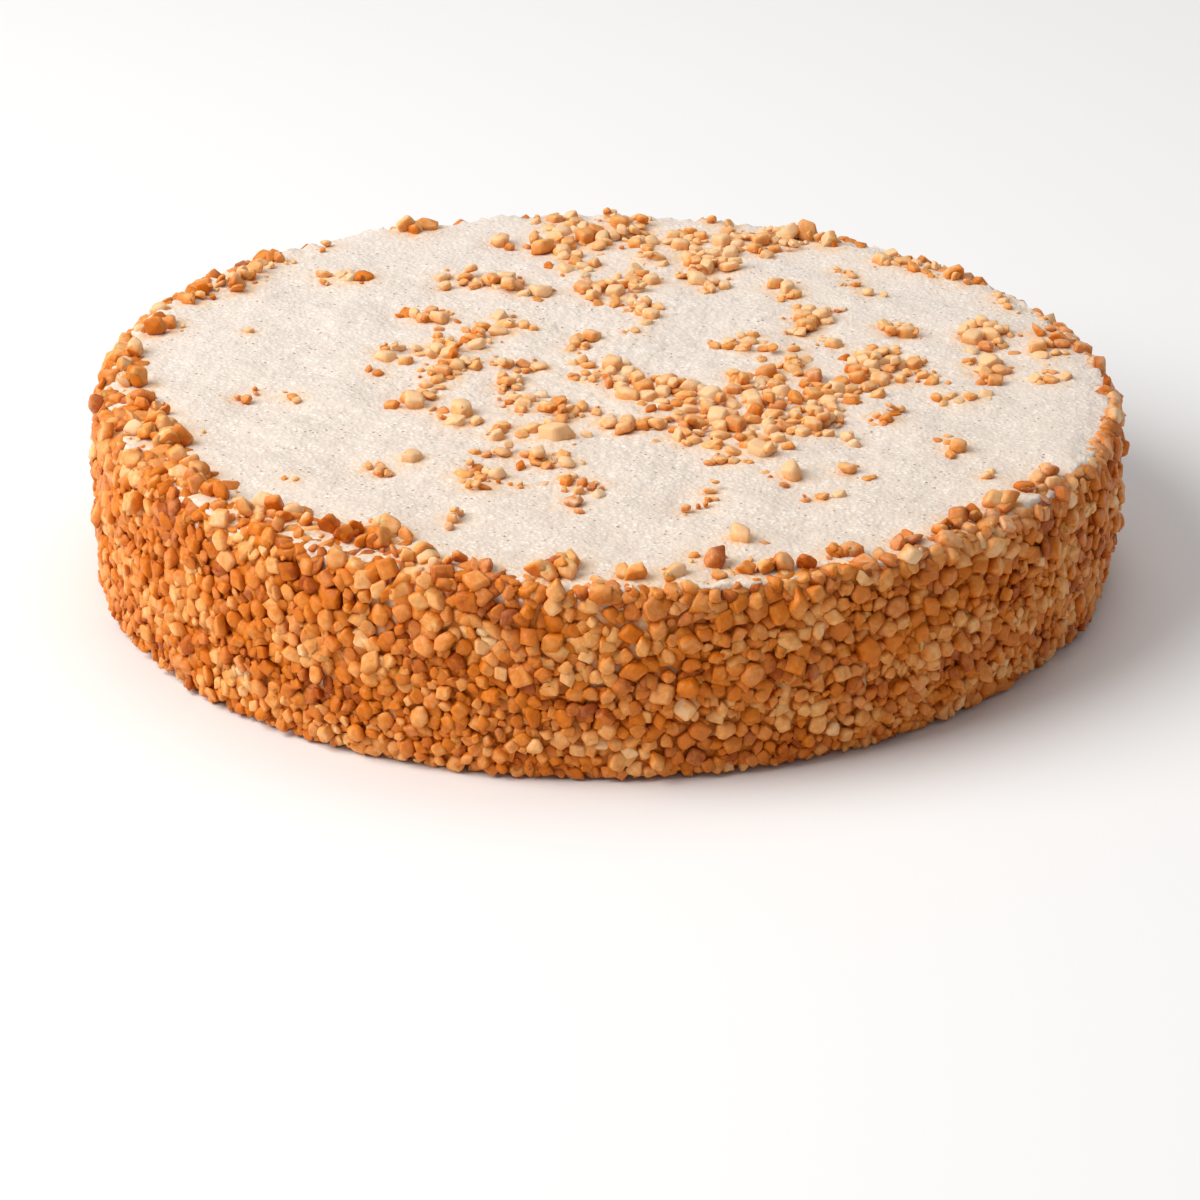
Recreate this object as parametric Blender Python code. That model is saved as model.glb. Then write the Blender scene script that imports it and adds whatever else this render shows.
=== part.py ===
"""A whole mille-feuille cake: a low round pastry cake with a pale sugared top.

Its wall is coated with chopped roasted nuts, more of them are strewn over the top in drifts,
and they climb over the rim on the left. The cake is uncut, so its body is one solid, and the
sugared cream on top is a thin disc of its own. The largest nuts are fused to what they lie on.

Units are metres, with +Z up and the front at -Y. The origin is under the middle of the cake, on
the surface that it stands on. Run with: blender --background --python part.py
"""

import math
from collections import namedtuple

import bmesh
import bpy
import numpy as np
from mathutils import Euler, Matrix, Vector

# Driving dimensions
CAKE_HEIGHT = 0.0527  # to the top of the sugar, at the middle
WALL_RADIUS = 0.1374  # over the fine nuts, where the wall is widest
SUGAR_RADIUS = 0.1321
SUGAR_THICKNESS = 0.0032
CLEARANCE = 0.0003  # between the sugar disc and the body under it
LEAN = 0.0144  # how much lower the top gets for each metre towards +X

# The wall's shape, from the foot to the shoulder
FOOT_SETBACK = 0.0030
FOOT_HEIGHT = 0.0050
BULGE_HEIGHT = 0.0260  # where the wall is widest
SHOULDER_START = 0.0430
SHOULDER_SETBACK = 0.0014
BRIM_RELIEF = 0.0005
BRIM_DROP = 0.0008  # how far the nuts round the sugar stay below its top
UNDERCUT = 0.0030  # how far the wall draws in towards its foot, on the right
LOBE_DEPTH = 0.0007  # slow unevenness of a wall smoothed by hand
WALL_COLUMNS = 128
WALL_ROWS = 9
WALL_RELIEF = 0.0013  # bumps of the fine nuts between the large ones
FLAT = 1e-5  # a point this near the base or the shoulder keeps its height

# The sugar disc
SUGAR_COLUMNS = 56
SUGAR_RINGS = 2
SUGAR_RELIEF = 0.0002
SUGAR_EDGE = 0.0014  # rounding of its edge

GOLDEN_ANGLE = math.pi * (3 - math.sqrt(5))

# Chopped nuts: a few shapes, each used many times
CHIP_SHAPES = 24
CHIP_SEED = 400
LARGE_CHIP = 0.0080
MEAN_CHIP = 0.0061
FUSED_CHIP = 0.0069  # nuts at least this long are fused on
RESTING = 0.45  # how high a nut's middle lies on the sugar, as a share of its reach downwards
UP = Vector((0, 0, 1))

WALL_CHIPS = 104
SHOULDER_CHIPS = 50
BACK_DROP = 0.0026  # how much lower the shoulder's nuts sit at the back than at the front

# Nuts that have climbed over the rim, in degrees and millimetres:
# angle, spread, how far in they reach, how many nuts, length of the largest
RIM_CLUMPS = (
    (115, 2.0, 3, 4, 8.5),
    (127, 1.0, 2, 1, 6.0),
    (135, 1.5, 2, 3, 5.5),
    (143, 5.0, 7, 12, 8.0),
    (151, 3.5, 4, 6, 6.5),
    (163, 2.5, 5, 5, 9.0),
    (174, 2.5, 2, 3, 7.0),
    (180, 3.0, 5, 5, 9.0),
    (194, 6.0, 14, 14, 8.0),
    (203, 5.0, 11, 12, 8.0),
    (213, 5.0, 8, 8, 7.5),
    (222, 5.0, 5, 7, 7.0),
    (229, 4.0, 9, 9, 7.0),
    (238, 4.0, 11, 10, 7.5),
    (243, 3.0, 14, 9, 8.5),
    (249, 3.0, 6, 6, 7.0),
    (255, 3.0, 4, 5, 6.0),
    (264, 2.5, 8, 9, 8.0),
    (272, 1.5, 2, 2, 7.5),
    (278, 1.5, 2, 3, 6.5),
    (284, 2.0, 7, 4, 7.0),
    (289, 1.5, 3, 4, 7.0),
    (293, 1.0, 1, 1, 9.0),
    (299, 3.0, 5, 5, 6.5),
    (305, 1.5, 2, 3, 9.0),
    (313, 4.0, 4, 6, 7.0),
    (321, 1.5, 3, 3, 8.0),
    (330, 4.0, 3, 5, 7.0),
    (17, 3.0, 4, 4, 7.0),
    (39, 2.0, 2, 3, 6.5),
    (46, 3.0, 2, 3, 4.5),
    (63, 4.5, 5, 10, 8.0),
    (75, 1.5, 2, 2, 6.5),
    (97, 1.0, 2, 1, 5.5),
)

# Drifts of nuts on the top, in millimetres and degrees:
# middle x, middle y, heading, length, width, how many nuts, length of the largest
DRIFTS = (
    (-11, 111, 45, 26, 12, 16, 8.0),
    (-30, 107, 0, 1, 1, 1, 7.5),
    (-7, 90, -20, 14, 6, 5, 7.0),
    (-73, 76, 0, 13, 3, 4, 7.5),
    (-97, 33, 0, 1, 1, 1, 3.0),
    (-43, 75, 80, 12, 8, 4, 6.0),
    (-25, 71, -45, 20, 4, 6, 7.5),
    (-49, 47, 20, 10, 4, 5, 6.0),
    (-28, 40, 50, 9, 5, 5, 8.0),
    (-40, 25, 50, 20, 5, 8, 7.0),
    (-42, 7, 60, 16, 8, 7, 6.5),
    (-48, -12, 70, 14, 4, 4, 7.0),
    (-58, 19, 75, 12, 3, 3, 7.5),
    (-61, 4, 0, 1, 1, 1, 4.0),
    (-21, 10, 0, 14, 4, 4, 6.5),
    (-25, -2, 40, 8, 5, 4, 5.5),
    (-6, 28, 60, 12, 3, 3, 6.0),
    (1, 7, 110, 16, 9, 9, 6.5),
    (-1, 67, 15, 10, 6, 5, 7.5),
    (8, 76, 85, 12, 4, 5, 8.0),
    (10, 55, 110, 14, 2, 4, 6.0),
    (8, 38, 0, 1, 1, 1, 6.0),
    (4, 126, 20, 12, 7, 5, 6.5),
    (11, 108, 95, 32, 5, 9, 6.5),
    (24, 104, 92, 26, 7, 11, 7.0),
    (27, 80, 100, 16, 5, 6, 6.5),
    (34, 89, 90, 4, 2, 2, 7.5),
    (36, 106, 60, 18, 8, 10, 7.0),
    (47, 111, 30, 14, 6, 7, 6.0),
    (81, 97, 0, 7, 3, 3, 8.0),
    (88, 88, -40, 6, 2, 2, 5.5),
    (70, 76, -70, 32, 5, 4, 5.0),
    (51, 71, 100, 9, 3, 4, 6.5),
    (56, 47, 70, 20, 4, 7, 7.0),
    (80, 41, 80, 9, 4, 4, 7.0),
    (62, 29, 0, 1, 1, 1, 8.0),
    (51, 19, 78, 17, 3, 7, 7.0),
    (39, 29, 110, 11, 5, 5, 7.0),
    (76, 14, 65, 17, 9, 10, 7.5),
    (85, 7, 90, 9, 3, 3, 5.5),
    (104, 37, 50, 13, 6, 6, 7.5),
    (117, 25, 60, 8, 4, 4, 7.0),
    (104, 13, 20, 8, 6, 5, 7.5),
    (119, 4, 95, 14, 3, 3, 5.0),
    (111, 64, 110, 12, 2, 4, 4.5),
    (41, 1, 10, 14, 8, 9, 7.0),
    (65, -2, 10, 18, 7, 9, 7.5),
    (94, -7, 30, 6, 4, 3, 6.5),
    (14, -7, -15, 22, 8, 13, 8.0),
    (31, -15, -10, 20, 12, 15, 7.5),
    (53, -14, -10, 16, 13, 16, 8.0),
    (40, -27, -5, 34, 9, 17, 7.5),
    (25, -36, -20, 12, 7, 6, 7.5),
    (39, -43, 75, 16, 5, 5, 8.5),
    (14, -23, -20, 8, 5, 3, 5.5),
    (5, -32, 30, 9, 6, 5, 7.5),
    (75, -21, 30, 10, 3, 3, 5.5),
    (31, -54, 0, 4, 2, 2, 5.0),
    (48, -62, 0, 1, 1, 1, 9.0),
    (62, -59, 0, 1, 1, 1, 8.0),
    (63, -37, 0, 1, 1, 1, 5.5),
    (55, -77, -20, 4, 1, 2, 5.5),
    (26, -74, -45, 2, 1, 1, 7.5),
    (18, -86, 20, 30, 3, 2, 3.5),
    (33, -104, 0, 1, 1, 1, 8.0),
    (22, -115, 0, 1, 1, 1, 4.5),
    (90, -42, -60, 6, 2, 2, 7.0),
    (98, -62, 0, 1, 1, 1, 5.5),
    (-39, -26, 100, 12, 4, 5, 9.0),
    (-23, -17, 60, 8, 5, 4, 6.5),
    (-12, -20, 100, 16, 4, 7, 7.0),
    (-13, -39, 0, 2, 1, 1, 10.5),
    (-22, -35, 0, 13, 4, 5, 6.5),
    (-29, -52, 30, 8, 3, 2, 6.5),
    (-12, -56, -20, 13, 4, 5, 6.5),
    (-50, -56, 0, 2, 1, 2, 7.5),
    (-60, -61, 0, 8, 2, 2, 5.5),
    (-79, -70, 0, 1, 1, 1, 5.0),
    (-32, -67, -50, 12, 6, 6, 6.5),
    (-22, -70, 0, 1, 1, 1, 4.0),
    (-6, -71, 0, 9, 3, 4, 6.0),
    (-9, -83, 0, 2, 1, 2, 9.0),
    (-38, -94, 0, 1, 1, 1, 6.5),
    (-92, -13, 0, 22, 5, 3, 4.5),
    (-3, -22, 0, 1, 1, 1, 4.5),
)
DRIFT_SEED = 17
DRIFT_TRIES = 40


def wall_radius(angle, height):
    """The wall's radius at a height, without the bumps of single nuts."""
    radius = WALL_RADIUS
    radius += LOBE_DEPTH * (math.sin(3 * angle + 0.6) + 0.6 * math.sin(5 * angle + 2.1))
    rise = (height - BULGE_HEIGHT) / BULGE_HEIGHT
    radius -= 0.0012 * rise * rise
    to_the_right = 0.5 + 0.5 * math.cos(angle)
    radius -= UNDERCUT * to_the_right * max(0.0, -rise)
    foot = max(0.0, 1 - height / FOOT_HEIGHT)
    radius -= FOOT_SETBACK * foot * foot
    return radius


def seat_height():
    """Where the body's top lies, under the sugar disc."""
    return CAKE_HEIGHT - SUGAR_THICKNESS - CLEARANCE


def lean(point):
    """Lowers the top towards the right and leaves the base flat."""
    return Vector((point.x, point.y, point.z * (1 - LEAN * point.x / CAKE_HEIGHT)))


def lean_mesh(shape):
    for vertex in shape.verts:
        vertex.co = lean(vertex.co)


def spun(profile, columns):
    """A closed round solid from a profile that starts and ends on the axis, foot first."""
    shape = bmesh.new()
    line = [shape.verts.new((radius, 0, height)) for radius, height in profile]
    edges = [shape.edges.new(pair) for pair in zip(line, line[1:])]
    bmesh.ops.spin(
        shape,
        geom=line + edges,
        cent=(0, 0, 0),
        axis=(0, 0, 1),
        angle=math.tau,
        steps=columns,
        use_merge=True,
    )
    bmesh.ops.remove_doubles(shape, verts=shape.verts, dist=1e-6)
    bmesh.ops.recalc_face_normals(shape, faces=shape.faces)
    return shape


def mesh_object(name, shape, material=None, collection=None):
    mesh = bpy.data.meshes.new(name)
    bmesh.ops.triangulate(shape, faces=shape.faces)
    shape.to_mesh(mesh)
    shape.free()
    thing = bpy.data.objects.new(name, mesh)
    (collection or bpy.context.scene.collection).objects.link(thing)
    if material:
        mesh.materials.append(material)
    return thing


def material(name, colour, roughness):
    made = bpy.data.materials.new(name)
    made.use_nodes = True
    shader = made.node_tree.nodes["Principled BSDF"]
    shader.inputs["Base Color"].default_value = (*colour, 1)
    shader.inputs["Roughness"].default_value = roughness
    shader.inputs["Metallic"].default_value = 0
    return made


def body_shape():
    """The pastry body out to its fine nuts, flat below, with a brim round the sugar's seat."""
    brim = CAKE_HEIGHT - BRIM_DROP
    profile = [(0, 0)]
    for row in range(WALL_ROWS + 1):
        height = SHOULDER_START * row / WALL_ROWS
        profile.append((WALL_RADIUS, height))
    for turn in (30, 60, 90):
        along = math.radians(turn)
        inward = SHOULDER_SETBACK * (1 - math.cos(along))
        up = (brim - SHOULDER_START) * math.sin(along)
        profile.append((WALL_RADIUS - inward, SHOULDER_START + up))
    inner = SUGAR_RADIUS + CLEARANCE
    profile += [(inner, brim), (inner, seat_height()), (0, seat_height())]
    shape = spun(profile, WALL_COLUMNS)
    draw = np.random.default_rng(1)
    for vertex in sorted(shape.verts, key=lambda v: (round(v.co.z, 5), math.atan2(v.co.y, v.co.x))):
        flat_radius = math.hypot(vertex.co.x, vertex.co.y)
        if flat_radius < inner + FLAT:
            continue
        angle = math.atan2(vertex.co.y, vertex.co.x)
        inward = WALL_RADIUS - flat_radius
        relief = WALL_RELIEF if vertex.co.z < SHOULDER_START + FLAT else BRIM_RELIEF
        bump = draw.uniform(-relief, relief)
        angle += draw.uniform(-0.35, 0.35) * math.tau / WALL_COLUMNS
        radius = wall_radius(angle, vertex.co.z) - inward + bump
        vertex.co.x = radius * math.cos(angle)
        vertex.co.y = radius * math.sin(angle)
        lift = draw.uniform(-WALL_RELIEF, WALL_RELIEF)
        if FLAT < vertex.co.z < SHOULDER_START - FLAT:
            vertex.co.z += lift
    return shape


def sugar_shape():
    """The thin disc of sugared cream, gently uneven above and rounded at its edge."""
    low = seat_height() + CLEARANCE
    profile = [(0, low), (SUGAR_RADIUS - SUGAR_EDGE, low), (SUGAR_RADIUS, low + SUGAR_EDGE)]
    profile.append((SUGAR_RADIUS - 0.3 * SUGAR_EDGE, CAKE_HEIGHT - 0.5 * SUGAR_EDGE))
    for ring in range(SUGAR_RINGS, 0, -1):
        radius = (SUGAR_RADIUS - 1.5 * SUGAR_EDGE) * ring / SUGAR_RINGS
        profile.append((radius, CAKE_HEIGHT))
    profile.append((0, CAKE_HEIGHT))
    shape = spun(profile, SUGAR_COLUMNS)
    draw = np.random.default_rng(2)
    for vertex in sorted(shape.verts, key=lambda v: (round(v.co.x, 5), round(v.co.y, 5), v.co.z)):
        if vertex.co.z > CAKE_HEIGHT - 1e-6:
            vertex.co.z += draw.uniform(-SUGAR_RELIEF, SUGAR_RELIEF)
    return shape


Chip = namedtuple("Chip", "place size turn kind")


def chip_corners(number):
    """The corners of a nut of unit length: pebbles, cut pebbles, blocks and slabs, all irregular."""
    draw = np.random.default_rng(CHIP_SEED + number)
    family = number % 6
    corners = []
    if family % 2:
        count = 9 + family // 2
        for corner in range(count):
            height = 1 - (2 * corner + 1) / count
            ring = 0.52 * math.sqrt(1 - height * height)
            angle = corner * GOLDEN_ANGLE
            corners.append((ring * math.cos(angle), ring * math.sin(angle), 0.5 * height))
    else:
        sides, reach, top = ((4, 0.60, 0.90), (5, 0.54, 0.96), (4, 0.62, 0.72))[family // 2]
        for corner in range(sides):
            angle = math.tau * corner / sides
            for height, share in ((-0.42, 1), (0.42, top)):
                corners.append((share * reach * math.cos(angle), share * reach * math.sin(angle), height))
    corners = np.array(corners)
    corners += draw.uniform(-0.10, 0.10, corners.shape)
    if family in (3, 5):
        corners[:, 2] = np.minimum(corners[:, 2], 0.22)
    if family == 5:
        corners[:, 0] = np.minimum(corners[:, 0], 0.26)
    return corners


CORNERS = [chip_corners(number) for number in range(CHIP_SHAPES)]


def draw_chip(draw, length):
    """Length, width and thickness of a chopped nut, and its kind."""
    size = (length, length * draw.uniform(0.62, 0.94), length * draw.uniform(0.44, 0.68))
    return size, int(draw.integers(CHIP_SHAPES))


def chip_turn(draw, outward, tilt):
    """A turn that lays a nut's thickness along outward, spun freely and tipped by up to tilt."""
    spin = Matrix.Rotation(draw.uniform(0, math.tau), 3, "Z")
    tip = Euler((draw.uniform(-tilt, tilt), draw.uniform(-tilt, tilt), 0)).to_matrix()
    return outward.to_track_quat("Z", "Y").to_matrix() @ tip @ spin


def half_reach(size, turn, kind, direction):
    """How far a turned nut reaches from its middle in a direction."""
    corners = CORNERS[kind] * np.array(size) @ np.array(turn).T
    return float((corners @ np.array(direction)).max())


def chip_shape(number):
    """One chopped nut of unit length about the origin: flat faces between a few corners."""
    shape = bmesh.new()
    for corner in CORNERS[number]:
        shape.verts.new(corner)
    bmesh.ops.convex_hull(shape, input=shape.verts)
    loose = [vertex for vertex in shape.verts if not vertex.link_faces]
    bmesh.ops.delete(shape, geom=loose, context="VERTS")
    return shape


def wall_chips():
    """The largest nuts of the wall, spread evenly by turning a golden angle for each."""
    draw = np.random.default_rng(3)
    chips = []
    for number in range(WALL_CHIPS):
        share = (number + 0.5) / WALL_CHIPS
        height = 0.0050 + (SHOULDER_START + 0.001 - 0.0050) * share + draw.uniform(-0.001, 0.001)
        angle = number * GOLDEN_ANGLE + draw.uniform(-0.012, 0.012)
        size, kind = draw_chip(draw, MEAN_CHIP + (LARGE_CHIP - MEAN_CHIP) * draw.uniform(-0.5, 1))
        outward = Vector((math.cos(angle), math.sin(angle), 0))
        place = outward * (wall_radius(angle, height) + 0.06 * size[2]) + Vector((0, 0, height))
        turn = chip_turn(draw, outward, 0.5)
        chips.append(Chip(place, size, turn, kind))
    return chips


def shoulder_chips():
    """Nuts that stand up round the shoulder, just clear of the sugar's edge."""
    draw = np.random.default_rng(4)
    chips = []
    for number in range(SHOULDER_CHIPS):
        angle = math.tau * (number + draw.uniform(-0.3, 0.3)) / SHOULDER_CHIPS
        size, kind = draw_chip(draw, MEAN_CHIP + (LARGE_CHIP - MEAN_CHIP) * draw.uniform(-0.5, 0.4))
        radial = Vector((math.cos(angle), math.sin(angle), 0))
        turn = chip_turn(draw, radial + Vector((0, 0, 0.3)), 0.3)
        inward = half_reach(size, turn, kind, -radial)
        radius = SUGAR_RADIUS + 2 * CLEARANCE + inward
        height = CAKE_HEIGHT - 0.0026 + draw.uniform(-0.0008, 0.0024)
        height -= BACK_DROP * max(0.0, math.sin(angle))
        chips.append(Chip(radial * radius + UP * height, size, turn, kind))
    return chips


def resting(place, size, turn, kind):
    """The place of a nut that lies on the sugar, sunk into it a little."""
    return Vector((place.x, place.y, CAKE_HEIGHT + RESTING * half_reach(size, turn, kind, -UP)))


def rim_chips():
    """Nuts that have climbed over the rim onto the sugar, in clumps."""
    draw = np.random.default_rng(5)
    chips = []
    for middle, spread, reach, count, largest in RIM_CLUMPS:
        for rank in range(count):
            share = (rank + draw.uniform(0, 1)) / count
            size, kind = draw_chip(draw, largest / 1000 * (1 - 0.42 * share))
            turn = chip_turn(draw, UP, 1.2)
            angle = math.radians(middle + spread * draw.uniform(-1, 1))
            radial = Vector((math.cos(angle), math.sin(angle), 0))
            inward = half_reach(size, turn, kind, radial) + reach / 1000 * draw.uniform(0, 1)
            place = radial * (SUGAR_RADIUS - inward)
            chips.append(Chip(resting(place, size, turn, kind), size, turn, kind))
    return chips


def drift_chips():
    """Nuts strewn over the top, the largest of each drift first and none on another."""
    draw = np.random.default_rng(DRIFT_SEED)
    chips = []
    for x, y, heading, length, width, count, largest in DRIFTS:
        along = Vector((math.cos(math.radians(heading)), math.sin(math.radians(heading)), 0))
        across = Vector((-along.y, along.x, 0))
        for rank in range(count):
            share = (rank + draw.uniform(0, 1)) / count
            size, kind = draw_chip(draw, largest / 1000 * (1 - 0.45 * share))
            turn = chip_turn(draw, UP, 0.3)
            for _ in range(DRIFT_TRIES):
                place = Vector((x, y, 0)) / 1000 + along * length / 1000 * draw.uniform(-0.5, 0.5)
                place += across * width / 1000 * 0.4 * draw.normal()
                gaps = [
                    (place - other.place).xy.length - 0.36 * (size[0] + other.size[0])
                    for other in chips
                ]
                if min(gaps, default=1) > 0:
                    chips.append(Chip(resting(place, size, turn, kind), size, turn, kind))
                    break
    return chips


def scatter(chips, meshes, collection):
    for number, (place, size, turn, kind) in enumerate(chips):
        thing = bpy.data.objects.new(f"chip{number}", meshes[kind])
        scale = Matrix.Diagonal((*size, 1))
        thing.matrix_world = Matrix.Translation(lean(place)) @ turn.to_4x4() @ scale
        collection.objects.link(thing)


def keep_largest_island(mesh):
    """Fills hollows that fusing sealed and drops loose scraps: both are islands of their own."""
    shape = bmesh.new()
    shape.from_mesh(mesh)
    left = set(shape.verts)
    islands = []
    while left:
        seed = left.pop()
        island, edge_of = {seed}, [seed]
        while edge_of:
            for edge in edge_of.pop().link_edges:
                for vertex in edge.verts:
                    if vertex in left:
                        left.remove(vertex)
                        island.add(vertex)
                        edge_of.append(vertex)
        islands.append(island)
    islands.sort(key=len)
    for island in islands[:-1]:
        bmesh.ops.delete(shape, geom=list(island), context="VERTS")
    bmesh.ops.triangulate(shape, faces=shape.faces)
    shape.to_mesh(mesh)
    shape.free()


def fuse(base, chips, meshes):
    """Joins the nuts to what they lie on, by one union."""
    collection = bpy.data.collections.new(base.name + "_chips")
    bpy.context.scene.collection.children.link(collection)
    scatter(chips, meshes, collection)
    union = base.modifiers.new("Union", "BOOLEAN")
    union.operation = "UNION"
    union.operand_type = "COLLECTION"
    union.collection = collection
    union.solver = "EXACT"
    union.material_mode = "TRANSFER"
    bpy.context.view_layer.update()
    graph = bpy.context.evaluated_depsgraph_get()
    joined = bpy.data.meshes.new_from_object(base.evaluated_get(graph))
    base.modifiers.clear()
    base.data = joined
    for thing in list(collection.objects):
        bpy.data.objects.remove(thing)
    bpy.data.collections.remove(collection)
    keep_largest_island(joined)


def main():
    for thing in list(bpy.data.objects):
        bpy.data.objects.remove(thing)
    nut_brown = material("roasted_nut", (0.62, 0.30, 0.09), 0.45)
    sugar_white = material("sugared_cream", (0.80, 0.74, 0.66), 0.8)
    meshes = []
    for number in range(CHIP_SHAPES):
        shape = chip_shape(number)
        mesh = bpy.data.meshes.new(f"chip{number}")
        shape.to_mesh(mesh)
        shape.free()
        mesh.materials.append(nut_brown)
        meshes.append(mesh)
    shape = body_shape()
    lean_mesh(shape)
    body = mesh_object("cake", shape, nut_brown)
    shape = sugar_shape()
    lean_mesh(shape)
    sugar = mesh_object("sugar_top", shape, sugar_white)
    fuse(body, wall_chips() + shoulder_chips(), meshes)
    on_top = [chip for chip in drift_chips() + rim_chips() if chip.size[0] >= FUSED_CHIP]
    fuse(sugar, on_top, meshes)
    print("triangles", len(body.data.polygons), len(sugar.data.polygons), "top chips", len(on_top))


main()
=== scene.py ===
"""Looks for a whole mille-feuille cake: sugared cream on top, chopped roasted nuts all round.

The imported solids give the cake's form and its box. Here a cream core stands in for the body,
thousands of single nuts cover it, and a rough sugared crust lies on top with nuts strewn on it.
Units are metres, with +Z up and the front at -Y.
"""

import math
from collections import namedtuple

import bmesh
import bpy
import numpy as np
from bpy.props import FloatProperty, FloatVectorProperty, PointerProperty
from bpy.types import Operator, Panel, PropertyGroup
from mathutils import Euler, Matrix, Vector
from mathutils.kdtree import KDTree


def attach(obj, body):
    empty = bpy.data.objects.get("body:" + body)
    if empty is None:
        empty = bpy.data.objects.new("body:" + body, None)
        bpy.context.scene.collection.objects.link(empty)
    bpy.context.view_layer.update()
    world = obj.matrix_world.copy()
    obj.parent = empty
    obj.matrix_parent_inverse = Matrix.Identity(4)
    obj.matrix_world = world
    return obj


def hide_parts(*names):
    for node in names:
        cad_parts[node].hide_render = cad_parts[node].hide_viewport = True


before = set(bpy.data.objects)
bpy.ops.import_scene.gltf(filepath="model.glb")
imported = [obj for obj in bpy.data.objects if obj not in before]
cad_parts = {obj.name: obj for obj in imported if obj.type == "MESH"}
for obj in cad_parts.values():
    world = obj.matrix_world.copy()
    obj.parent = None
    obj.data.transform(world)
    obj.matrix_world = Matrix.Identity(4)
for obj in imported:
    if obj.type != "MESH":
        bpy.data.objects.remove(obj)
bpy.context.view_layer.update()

bl_info = {
    "name": "Mille-feuille Cake",
    "version": (1, 0, 0),
    "blender": (4, 5, 0),
    "location": "View3D > Sidebar > Cake",
    "description": "Builds a nut-coated pastry cake with a sugared top over its solid frame",
    "category": "Object",
}

UP = Vector((0, 0, 1))
GOLDEN_ANGLE = math.pi * (3 - math.sqrt(5))

# The wall's shape, as the solid body has it
FOOT_SETBACK = 0.0030
FOOT_HEIGHT = 0.0050
BULGE_HEIGHT = 0.0260  # where the wall is widest
BULGE_DEPTH = 0.0012  # how much further in the foot and the top are
SHOULDER_START = 0.0430
UNDERCUT = 0.0030  # how much further in the foot is on the right
LOBE_DEPTH = 0.0007
LOBES = ((1.0, 3, 0.6), (0.6, 5, 2.1))  # share of the depth, how many round the wall, phase

# The rounded edge between the wall and the top: how far in and down it reaches, and along its arc
EDGE_IN = 0.0040
EDGE_DOWN = 0.0070
EDGE_ARC = 0.0088

# A chopped nut, as shares of its length
CHIP_SHAPES = 24
CHIP_SEED = 400
CHIP_FAMILIES = 6
PEBBLE_RADIUS = 0.52
FEWEST_PEBBLE_CORNERS = 9
BLOCKS = ((4, 0.60, 0.90), (5, 0.54, 0.96), (4, 0.62, 0.72))  # sides, radius, how wide the top is
HALF_BLOCK = 0.42
UNEVEN_CORNERS = 0.10
CUT_ABOVE = 0.22
CUT_BEYOND = 0.26
WIDTHS = (0.62, 0.94)
THICKNESSES = (0.44, 0.68)
WEAR = 0.12  # how far in from its edges a nut is worn round
HEAVY_WEAR = 0.17
UNEVEN_WEAR = 0.012
FLAT_ANGLE = 0.33  # faces that meet at less than this become one

# The large nuts of the solids
LARGE_CHIP = 0.0080
MEAN_CHIP = 0.0061
RESTING = 0.45  # how much of a nut's lower half stands out of the sugar
CLEARANCE = 0.0003
WALL_CHIPS = 104
WALL_SEED = 3
LOWEST_WALL_CHIP = 0.0050
SHOULDER_CHIPS = 50
SHOULDER_SEED = 4
SHOULDER_DROP = 0.0026
BACK_DROP = 0.0026
RIM_SEED = 5
RIM_TAPER = 0.42  # how much shorter than the largest a clump's smallest nut is
DRIFT_SEED = 17
DRIFT_TRIES = 40
DRIFT_TAPER = 0.45
DRIFT_SPACING = 0.36

# The pressed nuts of the coat
LOWEST_PRESSED = 0.0014
FARTHEST_PRESSED = 0.014  # past the rounded edge
PRESS_TRIES = 16
SIZE_FALL = 0.8  # how evenly the nuts' size falls from the longest to the shortest
FOOT_SIZE = 0.84  # how much of its size a nut keeps at the foot
SIZE_GAIN = 0.30  # how much more of it a nut has at the top edge
UNEVEN_LENGTHS = (0.92, 1.12)
SWELL = 0.0005  # height of the coat's slow swells
UNEVEN_DEPTH = 0.0003
FLOOR_GAP = 0.0002

# How far the coat reaches in over the rim: angle in degrees, and reach in millimetres
CLIMB = (
    (0, -1),
    (30, -3),
    (60, -5),
    (110, -8),
    (135, -7),
    (150, -4),
    (165, -2),
    (180, 1),
    (200, 4),
    (215, 3),
    (225, 4),
    (240, 5),
    (247, 2),
    (256, 0),
    (268, -1.5),
    (300, -2),
    (330, -1.5),
    (345, -1),
    (360, -1),
)
CLIMB_WAVES = ((1.6, 19, 0), (1.5, 43, 1))  # height in millimetres, how many round the rim, phase
MOST_CLIMB = 13

# The sugar crust's relief, each with its seed, height, wavelength and number of waves
DRIFTED_SUGAR = (21, 0.00028, 0.032, 24)
LUMPY_SUGAR = (22, 0.00008, 0.009, 24)
GRAINY_SUGAR = (23, 0.00009, 0.0036, 40)
RAGGED_EDGE = (24, 0.0004, 0.0045, 40)
CRUST_BEDDING = 0.0007  # how deep the crust dips towards its edge
CRUST_TUCK = 0.0026  # how deep its edge is tucked under the nuts
CRUST_BARE_TUCK = 0.0006  # the same where few nuts reach the edge
# How far the painted warm bounce light and soft shade round each nut reach over the sugar
HALO_LIGHT_REACH = 0.0020

# How roasted a nut is: 0 is blanched and 1 is dark
ROAST_SPREAD = 0.58
PATCH_ROAST = 0.19
EDGE_PALENESS = 0.06
BACK_PALENESS = 0.16
PATCH_SIZE = 0.020  # of patches where neighbouring nuts are roasted and dusted much alike
TOAST_SEED = 61
DUST_SEED = 62

# The stage
LIT_POINT = (0, 0, 0.03)
VIEWED_POINT = (-0.0015, 0, -0.0107)
SENSOR_WIDTH = 36  # in millimetres

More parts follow.
